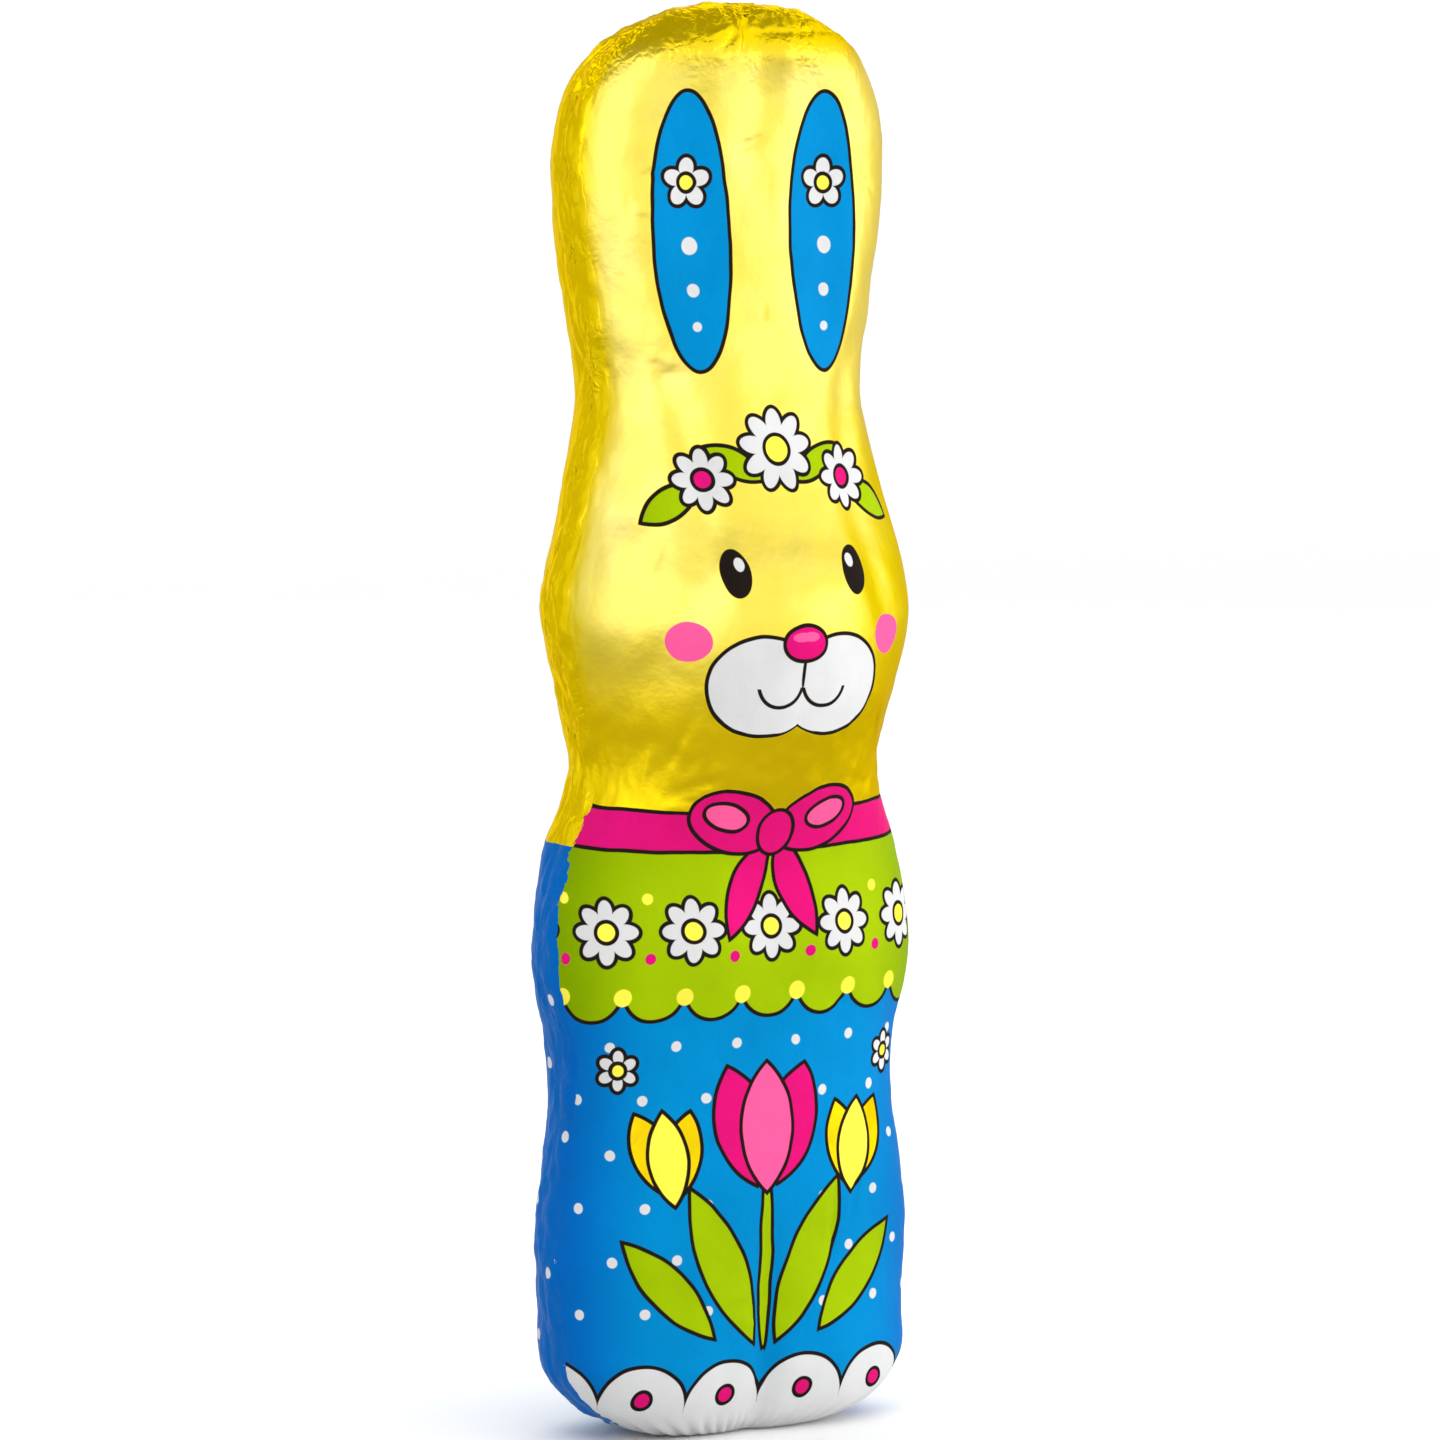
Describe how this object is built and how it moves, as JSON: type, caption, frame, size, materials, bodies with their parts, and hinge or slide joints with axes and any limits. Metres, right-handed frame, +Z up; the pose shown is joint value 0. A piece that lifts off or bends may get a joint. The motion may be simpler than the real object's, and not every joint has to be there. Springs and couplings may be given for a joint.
{
  "type": "foil-wrapped hollow chocolate bunny",
  "caption": "Upright moulded chocolate bunny sealed in printed foil, with long joined ears, a rounded head and a flat base to stand on.",
  "frame": {"origin": "on the ground, in the middle of the flat base, on the parting plane where the front and back foil meet", "axes": "+Z up towards the ears, the face looks along -Y, +X to the bunny's left"},
  "size_m": [0.0432, 0.0308, 0.15],
  "materials": {
    "printed_foil": "glossy printed foil with fine crinkles"
  },
  "bodies": {
    "root": {"foil_wrapped_bunny": "printed_foil"}
  },
  "joints": []
}
